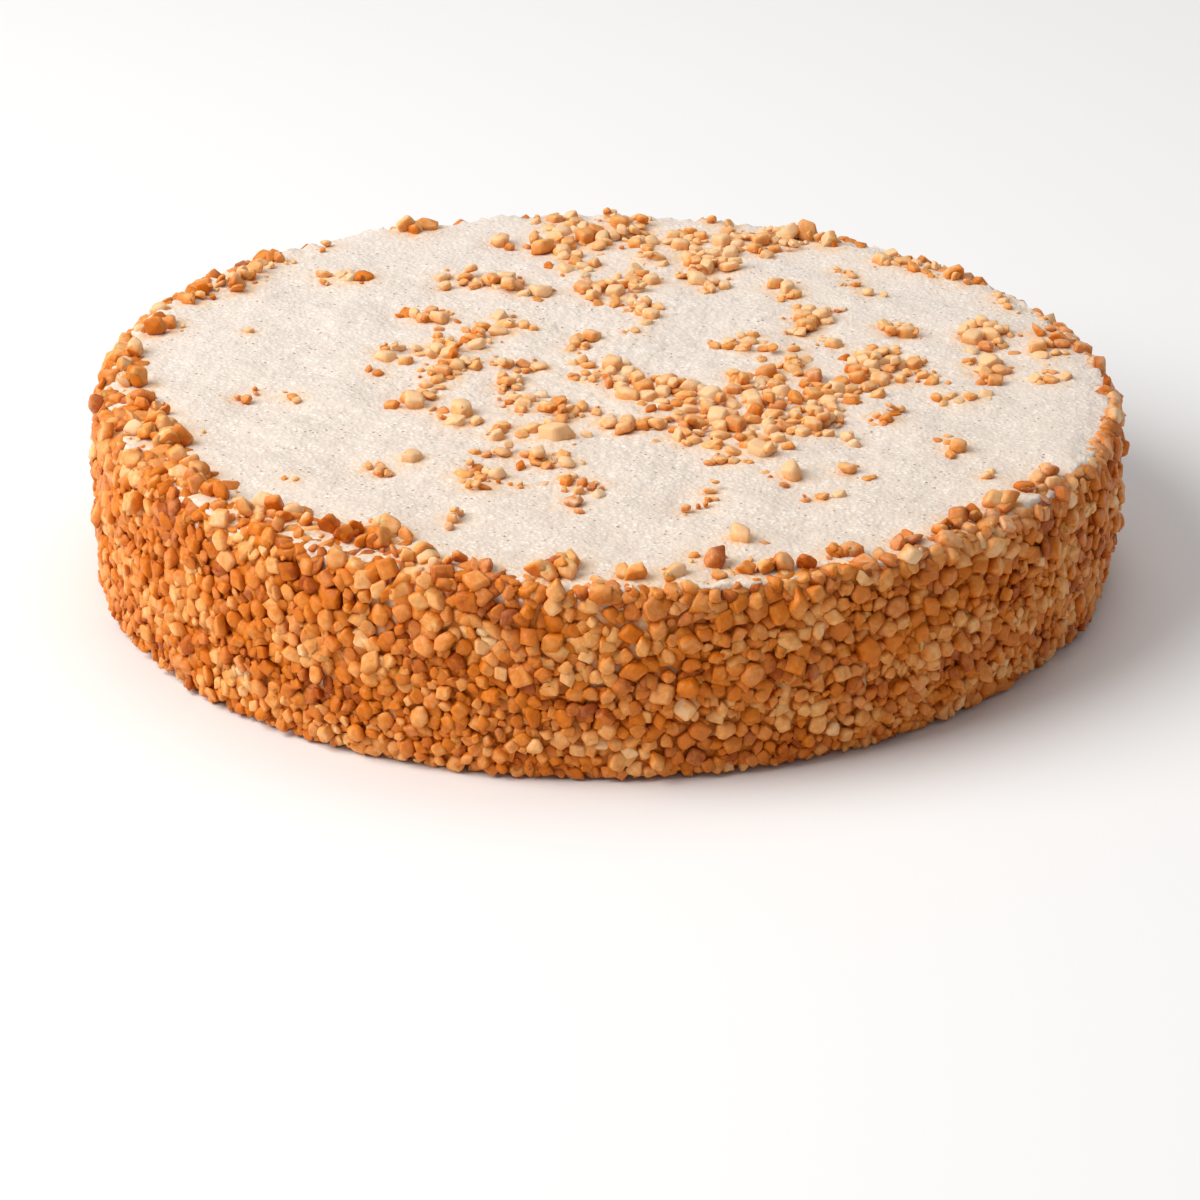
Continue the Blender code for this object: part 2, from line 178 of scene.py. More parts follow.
# Nuts that have climbed over the rim, in degrees and millimetres:
# angle, spread, how far in they reach, how many nuts, length of the largest
RIM_CLUMPS = (
    (115, 2.0, 3, 4, 8.5),
    (127, 1.0, 2, 1, 6.0),
    (135, 1.5, 2, 3, 5.5),
    (143, 5.0, 7, 12, 8.0),
    (151, 3.5, 4, 6, 6.5),
    (163, 2.5, 5, 5, 9.0),
    (174, 2.5, 2, 3, 7.0),
    (180, 3.0, 5, 5, 9.0),
    (194, 6.0, 14, 14, 8.0),
    (203, 5.0, 11, 12, 8.0),
    (213, 5.0, 8, 8, 7.5),
    (222, 5.0, 5, 7, 7.0),
    (229, 4.0, 9, 9, 7.0),
    (238, 4.0, 11, 10, 7.5),
    (243, 3.0, 14, 9, 8.5),
    (249, 3.0, 6, 6, 7.0),
    (255, 3.0, 4, 5, 6.0),
    (264, 2.5, 8, 9, 8.0),
    (272, 1.5, 2, 2, 7.5),
    (278, 1.5, 2, 3, 6.5),
    (284, 2.0, 7, 4, 7.0),
    (289, 1.5, 3, 4, 7.0),
    (293, 1.0, 1, 1, 9.0),
    (299, 3.0, 5, 5, 6.5),
    (305, 1.5, 2, 3, 9.0),
    (313, 4.0, 4, 6, 7.0),
    (321, 1.5, 3, 3, 8.0),
    (330, 4.0, 3, 5, 7.0),
    (17, 3.0, 4, 4, 7.0),
    (39, 2.0, 2, 3, 6.5),
    (46, 3.0, 2, 3, 4.5),
    (63, 4.5, 5, 10, 8.0),
    (75, 1.5, 2, 2, 6.5),
    (97, 1.0, 2, 1, 5.5),
)

# Drifts of nuts on the top, in millimetres and degrees:
# middle x, middle y, heading, length, width, how many nuts, length of the largest
DRIFTS = (
    (-11, 111, 45, 26, 12, 16, 8.0),
    (-30, 107, 0, 1, 1, 1, 7.5),
    (-7, 90, -20, 14, 6, 5, 7.0),
    (-73, 76, 0, 13, 3, 4, 7.5),
    (-97, 33, 0, 1, 1, 1, 3.0),
    (-43, 75, 80, 12, 8, 4, 6.0),
    (-25, 71, -45, 20, 4, 6, 7.5),
    (-49, 47, 20, 10, 4, 5, 6.0),
    (-28, 40, 50, 9, 5, 5, 8.0),
    (-40, 25, 50, 20, 5, 8, 7.0),
    (-42, 7, 60, 16, 8, 7, 6.5),
    (-48, -12, 70, 14, 4, 4, 7.0),
    (-58, 19, 75, 12, 3, 3, 7.5),
    (-61, 4, 0, 1, 1, 1, 4.0),
    (-21, 10, 0, 14, 4, 4, 6.5),
    (-25, -2, 40, 8, 5, 4, 5.5),
    (-6, 28, 60, 12, 3, 3, 6.0),
    (1, 7, 110, 16, 9, 9, 6.5),
    (-1, 67, 15, 10, 6, 5, 7.5),
    (8, 76, 85, 12, 4, 5, 8.0),
    (10, 55, 110, 14, 2, 4, 6.0),
    (8, 38, 0, 1, 1, 1, 6.0),
    (4, 126, 20, 12, 7, 5, 6.5),
    (11, 108, 95, 32, 5, 9, 6.5),
    (24, 104, 92, 26, 7, 11, 7.0),
    (27, 80, 100, 16, 5, 6, 6.5),
    (34, 89, 90, 4, 2, 2, 7.5),
    (36, 106, 60, 18, 8, 10, 7.0),
    (47, 111, 30, 14, 6, 7, 6.0),
    (81, 97, 0, 7, 3, 3, 8.0),
    (88, 88, -40, 6, 2, 2, 5.5),
    (70, 76, -70, 32, 5, 4, 5.0),
    (51, 71, 100, 9, 3, 4, 6.5),
    (56, 47, 70, 20, 4, 7, 7.0),
    (80, 41, 80, 9, 4, 4, 7.0),
    (62, 29, 0, 1, 1, 1, 8.0),
    (51, 19, 78, 17, 3, 7, 7.0),
    (39, 29, 110, 11, 5, 5, 7.0),
    (76, 14, 65, 17, 9, 10, 7.5),
    (85, 7, 90, 9, 3, 3, 5.5),
    (104, 37, 50, 13, 6, 6, 7.5),
    (117, 25, 60, 8, 4, 4, 7.0),
    (104, 13, 20, 8, 6, 5, 7.5),
    (119, 4, 95, 14, 3, 3, 5.0),
    (111, 64, 110, 12, 2, 4, 4.5),
    (41, 1, 10, 14, 8, 9, 7.0),
    (65, -2, 10, 18, 7, 9, 7.5),
    (94, -7, 30, 6, 4, 3, 6.5),
    (14, -7, -15, 22, 8, 13, 8.0),
    (31, -15, -10, 20, 12, 15, 7.5),
    (53, -14, -10, 16, 13, 16, 8.0),
    (40, -27, -5, 34, 9, 17, 7.5),
    (25, -36, -20, 12, 7, 6, 7.5),
    (39, -43, 75, 16, 5, 5, 8.5),
    (14, -23, -20, 8, 5, 3, 5.5),
    (5, -32, 30, 9, 6, 5, 7.5),
    (75, -21, 30, 10, 3, 3, 5.5),
    (31, -54, 0, 4, 2, 2, 5.0),
    (48, -62, 0, 1, 1, 1, 9.0),
    (62, -59, 0, 1, 1, 1, 8.0),
    (63, -37, 0, 1, 1, 1, 5.5),
    (55, -77, -20, 4, 1, 2, 5.5),
    (26, -74, -45, 2, 1, 1, 7.5),
    (18, -86, 20, 30, 3, 2, 3.5),
    (33, -104, 0, 1, 1, 1, 8.0),
    (22, -115, 0, 1, 1, 1, 4.5),
    (90, -42, -60, 6, 2, 2, 7.0),
    (98, -62, 0, 1, 1, 1, 5.5),
    (-39, -26, 100, 12, 4, 5, 9.0),
    (-23, -17, 60, 8, 5, 4, 6.5),
    (-12, -20, 100, 16, 4, 7, 7.0),
    (-13, -39, 0, 2, 1, 1, 10.5),
    (-22, -35, 0, 13, 4, 5, 6.5),
    (-29, -52, 30, 8, 3, 2, 6.5),
    (-12, -56, -20, 13, 4, 5, 6.5),
    (-50, -56, 0, 2, 1, 2, 7.5),
    (-60, -61, 0, 8, 2, 2, 5.5),
    (-79, -70, 0, 1, 1, 1, 5.0),
    (-32, -67, -50, 12, 6, 6, 6.5),
    (-22, -70, 0, 1, 1, 1, 4.0),
    (-6, -71, 0, 9, 3, 4, 6.0),
    (-9, -83, 0, 2, 1, 2, 9.0),
    (-38, -94, 0, 1, 1, 1, 6.5),
    (-92, -13, 0, 22, 5, 3, 4.5),
    (-3, -22, 0, 1, 1, 1, 4.5),
)


class CakeSizes(PropertyGroup):
    """Sizes of the cake's body and its sugared top"""

    height: FloatProperty(
        name="Height",
        description="Height of the sugar's surface at the middle",
        default=0.0527,
        unit="LENGTH",
    )
    wall_radius: FloatProperty(
        name="Wall Radius",
        description="Radius over the fine nuts, where the wall is widest",
        default=0.1374,
        unit="LENGTH",
    )
    sugar_radius: FloatProperty(
        name="Sugar Radius",
        description="Radius of the solid sugar disc",
        default=0.1321,
        unit="LENGTH",
    )
    lean: FloatProperty(
        name="Lean",
        description="How much lower the top gets for each metre to the right",
        default=0.0144,
    )
    coat_depth: FloatProperty(
        name="Coat Depth",
        description="How deep the cream lies under the nuts' mean surface",
        default=0.0019,
        unit="LENGTH",
    )


class NutLooks(PropertyGroup):
    """Colours of the chopped nuts"""

    blanched: FloatVectorProperty(
        name="Blanched Nut",
        description="Colour of nuts that are hardly roasted or wiped with cream",
        subtype="COLOR",
        size=3,
        default=(0.87, 0.55, 0.29),
    )
    pale: FloatVectorProperty(
        name="Pale Nut",
        description="Colour of the least roasted nuts",
        subtype="COLOR",
        size=3,
        default=(0.83, 0.40, 0.125),
    )
    golden: FloatVectorProperty(
        name="Golden Nut",
        description="Colour of most nuts",
        subtype="COLOR",
        size=3,
        default=(0.67, 0.186, 0.009),
    )
    toasted: FloatVectorProperty(
        name="Toasted Nut",
        description="Colour of the most roasted nuts",
        subtype="COLOR",
        size=3,
        default=(0.39, 0.074, 0.002),
    )
    powder: FloatVectorProperty(
        name="Powder",
        description="Colour of the sugar dust on a nut",
        subtype="COLOR",
        size=3,
        default=(0.80, 0.59, 0.39),
    )


class CreamLooks(PropertyGroup):
    """Colours of the cream and the sugar"""

    cream: FloatVectorProperty(
        name="Cream",
        description="Colour of cream where it shows between the nuts",
        subtype="COLOR",
        size=3,
        default=(0.72, 0.50, 0.30),
    )
    # Painted shade: this dark amber-brown stands for the shade between the nuts
    shaded: FloatVectorProperty(
        name="Stained Cream",
        description="Colour of cream that the nuts have stained",
        subtype="COLOR",
        size=3,
        default=(0.52, 0.155, 0.010),
    )
    clean: FloatVectorProperty(
        name="Clean Cream",
        description="Colour of cream that shows along the top edge",
        subtype="COLOR",
        size=3,
        default=(0.75, 0.60, 0.48),
    )
    sugar: FloatVectorProperty(
        name="Sugar",
        description="Colour of the sugared top",
        subtype="COLOR",
        size=3,
        default=(0.768, 0.674, 0.598),
    )
    fleck: FloatVectorProperty(
        name="Fleck",
        description="Colour of the sugar's pale flecks",
        subtype="COLOR",
        size=3,
        default=(0.96, 0.91, 0.85),
    )
    speck: FloatVectorProperty(
        name="Speck",
        description="Colour of the dark specks in the sugar",
        subtype="COLOR",
        size=3,
        default=(0.27, 0.18, 0.12),
    )
    # Painted light: the warm amber of light bounced from the nuts, with their soft shade, on the sugar
    # next to them
    nut_halo_colour: FloatVectorProperty(
        name="Nut Stain",
        description="Colour of sugar that lies against a nut",
        subtype="COLOR",
        size=3,
        default=(0.82, 0.53, 0.29),
    )


def sizes():
    """The sizes that the sidebar shows."""
    return bpy.context.scene.cake_sizes


# Shared shape of the body


def wall_radius(angle, height):
    """The wall's radius at a height, without the bumps of single nuts."""
    radius = sizes().wall_radius
    radius += LOBE_DEPTH * sum(share * math.sin(count * angle + phase) for share, count, phase in LOBES)
    rise = (height - BULGE_HEIGHT) / BULGE_HEIGHT
    radius -= BULGE_DEPTH * rise * rise
    to_the_right = 0.5 + 0.5 * math.cos(angle)
    radius -= UNDERCUT * to_the_right * max(0.0, -rise)
    foot = max(0.0, 1 - height / FOOT_HEIGHT)
    radius -= FOOT_SETBACK * foot * foot
    return radius


def coat_point(angle, along):
    """A point of the coat's surface and its outward direction, by the way up from the foot.

    The way goes up the wall, round the edge and then inwards over the top.
    """
    radial = Vector((math.cos(angle), math.sin(angle), 0))
    edge_start = sizes().height - EDGE_DOWN
    height = min(along, edge_start)
    radius = wall_radius(angle, height)
    turned = min(1.0, max(0.0, (along - edge_start) / EDGE_ARC)) * math.pi / 2
    radius -= EDGE_IN * (1 - math.cos(turned))
    height += EDGE_DOWN * math.sin(turned)
    radius -= max(0.0, along - edge_start - EDGE_ARC)
    outward = (radial * math.cos(turned) + UP * math.sin(turned)).normalized()
    return radial * radius + UP * height, outward


def lean(point):
    """Lowers the top towards the right and leaves the base flat."""
    return Vector((point.x, point.y, point.z * (1 - sizes().lean * point.x / sizes().height)))


# Chopped nuts

Chip = namedtuple("Chip", "place size turn kind")
# Besides roast and dusting, a finish adds painted shade: darker towards the side a nut lies on, and
# darker towards the front right for nuts on the top
Finish = namedtuple("Finish", "roast dusting glaze crispness browned", defaults=(0,))


def chip_corners(number):
    """The corners of a nut of unit length: pebbles, cut pebbles, blocks and slabs, all irregular."""
    draw = np.random.default_rng(CHIP_SEED + number)
    family = number % CHIP_FAMILIES
    corners = []
    if family % 2:
        count = FEWEST_PEBBLE_CORNERS + family // 2
        for corner in range(count):
            height = 1 - (2 * corner + 1) / count
            ring = PEBBLE_RADIUS * math.sqrt(1 - height * height)
            angle = corner * GOLDEN_ANGLE
            corners.append((ring * math.cos(angle), ring * math.sin(angle), 0.5 * height))
    else:
        sides, reach, top = BLOCKS[family // 2]
        for corner in range(sides):
            angle = math.tau * corner / sides
            for height, share in ((-HALF_BLOCK, 1), (HALF_BLOCK, top)):
                corners.append((share * reach * math.cos(angle), share * reach * math.sin(angle), height))
    corners = np.array(corners)
    corners += draw.uniform(-UNEVEN_CORNERS, UNEVEN_CORNERS, corners.shape)
    if family in (3, 5):
        corners[:, 2] = np.minimum(corners[:, 2], CUT_ABOVE)
    if family == 5:
        corners[:, 0] = np.minimum(corners[:, 0], CUT_BEYOND)
    return corners


CORNERS = [chip_corners(number) for number in range(CHIP_SHAPES)]


def draw_chip(draw, length):
    """Length, width and thickness of a chopped nut, and its kind."""
    size = (length, length * draw.uniform(*WIDTHS), length * draw.uniform(*THICKNESSES))
    return size, int(draw.integers(CHIP_SHAPES))


def chip_turn(draw, outward, tilt):
    """A turn that lays a nut's thickness along outward, spun freely and tipped by up to tilt."""
    spin = Matrix.Rotation(draw.uniform(0, math.tau), 3, "Z")
    tip = Euler((draw.uniform(-tilt, tilt), draw.uniform(-tilt, tilt), 0)).to_matrix()
    return outward.to_track_quat("Z", "Y").to_matrix() @ tip @ spin


def half_reach(size, turn, kind, direction):
    """How far a turned nut reaches from its middle in a direction."""
    corners = CORNERS[kind] * np.array(size) @ np.array(turn).T
    return float((corners @ np.array(direction)).max())


def chip_hull(number):
    """A nut with flat faces between its corners."""
    shape = bmesh.new()
    for corner in CORNERS[number]:
        shape.verts.new(corner)
    bmesh.ops.convex_hull(shape, input=shape.verts)
    loose = [vertex for vertex in shape.verts if not vertex.link_faces]
    bmesh.ops.delete(shape, geom=loose, context="VERTS")
    bmesh.ops.recalc_face_normals(shape, faces=shape.faces)
    return shape


def worn_chip(number, segments, offset=WEAR):
    """A nut with its edges worn round in so many segments, or left sharp: points and triangles."""
    shape = chip_hull(number)
    if segments:
        bmesh.ops.dissolve_limit(shape, angle_limit=FLAT_ANGLE, verts=shape.verts, edges=shape.edges)
        bmesh.ops.bevel(
            shape,
            geom=list(shape.edges),
            offset=offset,
            offset_type="OFFSET",
            segments=segments,
            profile=0.5,
            affect="EDGES",
            clamp_overlap=True,
        )
    bmesh.ops.triangulate(shape, faces=shape.faces)
    shape.verts.ensure_lookup_table()
    points = np.array([vertex.co for vertex in shape.verts])
    points += np.random.default_rng(number).normal(0, UNEVEN_WEAR, points.shape)
    faces = np.array([[vertex.index for vertex in face.verts] for face in shape.faces])
    shape.free()
    return points, faces


def large_wall_chips():
    """The nuts that the solid body has on its wall."""
    draw = np.random.default_rng(WALL_SEED)
    chips = []
    for number in range(WALL_CHIPS):
        share = (number + 0.5) / WALL_CHIPS
        height = LOWEST_WALL_CHIP + (SHOULDER_START + 0.001 - LOWEST_WALL_CHIP) * share
        height += draw.uniform(-0.001, 0.001)
        angle = number * GOLDEN_ANGLE + draw.uniform(-0.012, 0.012)
        size, kind = draw_chip(draw, MEAN_CHIP + (LARGE_CHIP - MEAN_CHIP) * draw.uniform(-0.5, 1))
        outward = Vector((math.cos(angle), math.sin(angle), 0))
        place = outward * (wall_radius(angle, height) + 0.06 * size[2]) + UP * height
        turn = chip_turn(draw, outward, 0.5)
        chips.append(Chip(place, size, turn, kind))
    return chips


def shoulder_chips():
    """The nuts that the solid body has round its shoulder."""
    draw = np.random.default_rng(SHOULDER_SEED)
    chips = []
    for number in range(SHOULDER_CHIPS):
        angle = math.tau * (number + draw.uniform(-0.3, 0.3)) / SHOULDER_CHIPS
        size, kind = draw_chip(draw, MEAN_CHIP + (LARGE_CHIP - MEAN_CHIP) * draw.uniform(-0.5, 0.4))
        radial = Vector((math.cos(angle), math.sin(angle), 0))
        turn = chip_turn(draw, radial + Vector((0, 0, 0.3)), 0.3)
        inward = half_reach(size, turn, kind, -radial)
        radius = sizes().sugar_radius + 2 * CLEARANCE + inward
        height = sizes().height - SHOULDER_DROP + draw.uniform(-0.0008, 0.0024)
        height -= BACK_DROP * max(0.0, math.sin(angle))
        chips.append(Chip(radial * radius + UP * height, size, turn, kind))
    return chips


def resting(place, size, turn, kind):
    """The place of a nut that lies on the sugar, sunk into it a little."""
    return Vector((place.x, place.y, sizes().height + RESTING * half_reach(size, turn, kind, -UP)))


def rim_chips():
    """Nuts that have climbed over the rim onto the sugar, in clumps."""
    draw = np.random.default_rng(RIM_SEED)
    chips = []
    for middle, spread, reach, count, largest in RIM_CLUMPS:
        for rank in range(count):
            share = (rank + draw.uniform(0, 1)) / count
            size, kind = draw_chip(draw, largest / 1000 * (1 - RIM_TAPER * share))
            turn = chip_turn(draw, UP, 1.2)
            angle = math.radians(middle + spread * draw.uniform(-1, 1))
            radial = Vector((math.cos(angle), math.sin(angle), 0))
            inward = half_reach(size, turn, kind, radial) + reach / 1000 * draw.uniform(0, 1)
            place = radial * (sizes().sugar_radius - inward)
            chips.append(Chip(resting(place, size, turn, kind), size, turn, kind))
    return chips


def drift_chips():
    """Nuts strewn over the top, the largest of each drift first and none on another."""
    draw = np.random.default_rng(DRIFT_SEED)
    chips = []
    for x, y, heading, length, width, count, largest in DRIFTS:
        along = Vector((math.cos(math.radians(heading)), math.sin(math.radians(heading)), 0))
        across = Vector((-along.y, along.x, 0))
        for rank in range(count):
            share = (rank + draw.uniform(0, 1)) / count
            size, kind = draw_chip(draw, largest / 1000 * (1 - DRIFT_TAPER * share))
            turn = chip_turn(draw, UP, 0.3)
            for _ in range(DRIFT_TRIES):
                place = Vector((x, y, 0)) / 1000 + along * length / 1000 * draw.uniform(-0.5, 0.5)
                place += across * width / 1000 * 0.4 * draw.normal()
                gaps = [
                    (place - other.place).xy.length - DRIFT_SPACING * (size[0] + other.size[0])
                    for other in chips
                ]
                if min(gaps, default=1) > 0:
                    chips.append(Chip(resting(place, size, turn, kind), size, turn, kind))
                    break
    return chips


def climb(angle):
    """How far the nuts have climbed over the rim onto the sugar, by angle."""
    degrees = math.degrees(angle) % 360
    reach = np.interp(degrees, *zip(*CLIMB))
    for middle, spread, inward, _, _ in RIM_CLUMPS:
        apart = abs((degrees - middle + 180) % 360 - 180)
        reach += (0.7 * inward + 2.5) * math.exp(-((apart / (spread + 1.2)) ** 2))
    reach += sum(height * math.sin(count * angle + phase) for height, count, phase in CLIMB_WAVES)
    return min(reach, MOST_CLIMB) / 1000


def coat_spot(place):
    """Where on the coat a nut is: how far round, and how far along from the foot."""
    side = math.atan2(place.y, place.x) % math.tau * sizes().wall_radius
    edge_start = sizes().height - EDGE_DOWN
    if place.z <= edge_start:
        return side, place.z
    inward = sizes().wall_radius - place.xy.length
    return side, edge_start + (place.z - edge_start) * EDGE_ARC / EDGE_DOWN + max(0.0, inward - EDGE_IN)


def pressed_chips(seed, tries, longest, shortest, depth, spacing, taken=()):
    """Nuts pressed into the coat, largest first, spread by a spacing that is a share of size."""
    draw = np.random.default_rng(seed)
    mean_radius = sizes().wall_radius
    around = math.tau * mean_radius
    edge_top = sizes().height - EDGE_DOWN + EDGE_ARC
    spots = np.zeros((tries + len(taken), 3))
    for used, chip in enumerate(taken):
        spots[used] = (*coat_spot(chip.place), chip.size[0])
    used = len(taken)
    chips = []
    for rank in range(tries):
        nominal = longest - (longest - shortest) * (rank / tries) ** SIZE_FALL
        for _ in range(PRESS_TRIES):
            side = draw.uniform(0, around)
            along = draw.uniform(LOWEST_PRESSED, edge_top + FARTHEST_PRESSED)
            if along > edge_top + climb(side / mean_radius):
                continue
            length = nominal * (FOOT_SIZE + SIZE_GAIN * min(1, along / edge_top))
            apart = np.abs(spots[:used, 0] - side)
            apart = np.minimum(apart, around - apart)
            gaps = np.hypot(apart, spots[:used, 1] - along) - spacing * (spots[:used, 2] + length)
            if gaps.min(initial=1) > 0:
                break
        else:
            continue
        spots[used] = (side, along, length)
        used += 1
        point, outward = coat_point(side / mean_radius, along)
        size, kind = draw_chip(draw, length * draw.uniform(*UNEVEN_LENGTHS))
        swell = SWELL * math.sin(90 * side + 3) * math.sin(160 * along + 40 * side)
        place = point + outward * (swell - depth - 0.15 * size[2] + UNEVEN_DEPTH * draw.normal())
        turn = chip_turn(draw, outward, 0.4)
        place.z = max(place.z, FLOOR_GAP + half_reach(size, turn, kind, -UP))
        chips.append(Chip(place, size, turn, kind))
    return chips


def relief(points, seed, height, wavelength, count=24):
    """A smooth random relief about zero: a sum of plane waves near one wavelength."""
    draw = np.random.default_rng(seed)
    total = np.zeros(len(points))
    for _ in range(count):
        heading = draw.uniform(0, math.tau)
        pitch = math.tau / (wavelength * draw.uniform(0.7, 1.5))
        phase = draw.uniform(0, math.tau)
        along = points[:, 0] * math.cos(heading) + points[:, 1] * math.sin(heading)
        total += np.sin(along * pitch + phase)
    return height * (total / math.sqrt(count / 2))


def patchiness(seed, places):
    """A slow random value for each nut, so that neighbours are roasted much alike."""
    spots = np.array([(math.atan2(p.y, p.x) * p.xy.length, p.z + 2 * p.xy.length, 0) for p in places])
    return relief(spots, seed, 1, PATCH_SIZE)


def chip_looks(chips, library, seed, finish):
    """How roasted and how dusted each nut of a piece is, at each of its points, with painted shade added
    to the roast.

    Painted shade makes a nut darker towards the side it lies on, where shade falls, and leaves its outer
    side paler.
    """
    draw = np.random.default_rng(seed)
    slow_toast = patchiness(TOAST_SEED, [chip.place for chip in chips])
    slow_dust = patchiness(DUST_SEED, [chip.place for chip in chips])
    roast_and_shade, dust = [], []
    for chip, warm, dusty in zip(chips, slow_toast, slow_dust):
        near_edge = min(1, max(0, (chip.place.z - sizes().height + 0.0075) / 0.005))
        near_edge *= chip.place.xy.length > sizes().sugar_radius - 0.004
        to_the_right = max(0.0, chip.place.x / chip.place.xy.length)
        roasted_and_shaded = finish.roast + ROAST_SPREAD * draw.uniform(0, 1)
        roasted_and_shaded += PATCH_ROAST * warm - EDGE_PALENESS * near_edge
        if chip.place.z > sizes().height:
            to_the_back = (chip.place.y + 0.3 * chip.place.x) / sizes().sugar_radius
            to_the_front_right = (chip.place.x - chip.place.y) / sizes().sugar_radius
            roasted_and_shaded -= BACK_PALENESS * max(0.0, to_the_back)
            # Painted shade: darker towards the front right, the side away from the key light
            roasted_and_shaded += finish.browned * max(0.0, to_the_front_right)
        powder = finish.dusting * (draw.uniform(0, 1) ** 2 + 0.3 * dusty)
        powder += near_edge * draw.uniform(0, 1) * (0.12 + to_the_right**3)
        rise = library[chip.kind][0][:, 2] / 0.45
        # Painted shade: darker towards the side the nut lies on, paler towards its outer side
        roast_and_shade.append(roasted_and_shaded + finish.glaze * (0.25 - rise))
        dust.append(max(0.0, powder) * np.clip(0.6 + 0.6 * rise, 0, 1.2))
    return np.concatenate(roast_and_shade), np.concatenate(dust)


def triangle_mesh(name, points, faces):
    """A smooth mesh of triangles."""
    mesh = bpy.data.meshes.new(name)
    mesh.vertices.add(len(points))
    mesh.vertices.foreach_set("co", points.ravel())
    mesh.loops.add(faces.size)
    mesh.loops.foreach_set("vertex_index", faces.ravel())
    mesh.polygons.add(len(faces))
    mesh.polygons.foreach_set("loop_start", np.arange(0, faces.size, 3))
    mesh.polygons.foreach_set("use_smooth", np.full(len(faces), True))
    return mesh


def leaning_normals(points, faces, crispness):
    """Normals at the points. With more crispness they lean towards the larger faces there."""
    sides = points[faces]
    slopes = np.cross(sides[:, 1] - sides[:, 0], sides[:, 2] - sides[:, 0])
    area = np.maximum(np.linalg.norm(slopes, axis=1), 1e-14)
    slopes *= (area ** (crispness - 1))[:, None]
    normals = np.zeros(points.shape)
    for corner in range(3):
        np.add.at(normals, faces[:, corner], slopes)
    return normals / np.maximum(np.linalg.norm(normals, axis=1), 1e-12)[:, None]


def scatter(name, chips, library, seed, finish):
    """One mesh of many nuts, with how roasted and how dusted each one is in its attributes, painted shade
    included in the roast.
    """
    points, faces = [], []
    offset = 0
    for chip in chips:
        shape, shape_faces = library[chip.kind]
        points.append((shape * np.array(chip.size)) @ np.array(chip.turn).T + np.array(chip.place))
        faces.append(shape_faces + offset)
        offset += len(shape)
    points = np.vstack(points)
    points[:, 2] *= 1 - sizes().lean * points[:, 0] / sizes().height
    faces = np.vstack(faces)
    mesh = triangle_mesh(name, points, faces)
    for attribute, values in zip(("roast_and_shade", "dust"), chip_looks(chips, library, seed, finish)):
        layer = mesh.attributes.new(attribute, "FLOAT", "POINT")
        layer.data.foreach_set("value", values)
    mesh.update()
    mesh.validate()
    mesh.normals_split_custom_set_from_vertices(leaning_normals(points, faces, finish.crispness).tolist())
    piece = bpy.data.objects.new(name, mesh)
    bpy.context.scene.collection.objects.link(piece)
    return piece


# Materials


class NodeTree:
    """A material's nodes, added one at a time and joined by name."""

    def __init__(self, name):
        self.material = bpy.data.materials.new(name)
        self.material.use_nodes = True
        self.tree = self.material.node_tree
        self.shader = self.tree.nodes["Principled BSDF"]
        self.place = self.add("ShaderNodeTexCoord")

    def add(self, kind, **settings):
        """A new node with some of its settings."""
        node = self.tree.nodes.new(kind)
        for key, value in settings.items():
            setattr(node, key, value)
        return node

    def join(self, source, output, target, socket):
        """A link from a node's output to another's socket."""
        self.tree.links.new(source.outputs[output], target.inputs[socket])

    def noise(self, scale, detail, rough):
        """Noise over the piece's own coordinates."""
        node = self.add("ShaderNodeTexNoise")
        node.inputs["Scale"].default_value = scale
        node.inputs["Detail"].default_value = detail
        node.inputs["Roughness"].default_value = rough
        self.join(self.place, "Object", node, "Vector")
        return node

    def cells(self, scale):
        """Cells over the piece's own coordinates, by the distance from each one's middle."""
        node = self.add("ShaderNodeTexVoronoi", feature="F1")
        node.inputs["Scale"].default_value = scale
        self.join(self.place, "Object", node, "Vector")
        return node

    def ramp(self, source, output, stops):
        """Colours at stops along an output of another node."""
        node = self.add("ShaderNodeValToRGB")
        elements = node.color_ramp.elements
        while len(elements) < len(stops):
            elements.new(0.5)
        for element, (position, colour) in zip(elements, stops):
            element.position = position
            element.color = (*colour, 1)
        self.join(source, output, node, "Fac")
        return node

    def between(self, axis, first, last):
        """A value that goes from 0 to 1 between two places along an axis."""
        split = self.add("ShaderNodeSeparateXYZ")
        self.join(self.place, "Object", split, "Vector")
        node = self.add("ShaderNodeMapRange")
        node.inputs["From Min"].default_value = first
        node.inputs["From Max"].default_value = last
        self.join(split, axis, node, "Value")
        return node

    def product(self, first, second):
        """Two nodes' colours multiplied."""
        node = self.add("ShaderNodeMix", data_type="RGBA", blend_type="MULTIPLY")
        node.inputs["Factor"].default_value = 1.0
        self.join(first, "Color", node, "A")
        self.join(second, "Color", node, "B")
        return node

    def covered(self, under, output, cover, colour, blend="MIX"):
        """A node's colour with a plain colour over it, as far as the cover's result says."""
        node = self.add("ShaderNodeMix", data_type="RGBA", blend_type=blend)
        node.inputs["B"].default_value = (*colour, 1)
        self.join(cover, "Result", node, "Factor")
        self.join(under, output, node, "A")
        return node

    def bump(self, source, output, strength, distance, under=None):
        """Relief from a node's output, over another relief if there is one."""
        node = self.add("ShaderNodeBump")
        node.inputs["Strength"].default_value = strength
        node.inputs["Distance"].default_value = distance
        self.join(source, output, node, "Height")
        if under:
            self.join(under, "Normal", node, "Normal")
        return node

    def surface(self, roughness, specular):
        """How rough and how shiny the surface is."""
        self.shader.inputs["Roughness"].default_value = roughness
        self.shader.inputs["Specular IOR Level"].default_value = specular

    def depth(self, weight, radius, scale):
        """How far light gets into the surface."""
        self.shader.inputs["Subsurface Weight"].default_value = weight
        self.shader.inputs["Subsurface Radius"].default_value = radius
        self.shader.inputs["Subsurface Scale"].default_value = scale


def grey(value):
    """A plain grey."""
    return (value, value, value)


def blend(first, second, share):
    """A colour between two others, by the second one's share."""
    return [(1 - share) * a + share * b for a, b in zip(first, second)]


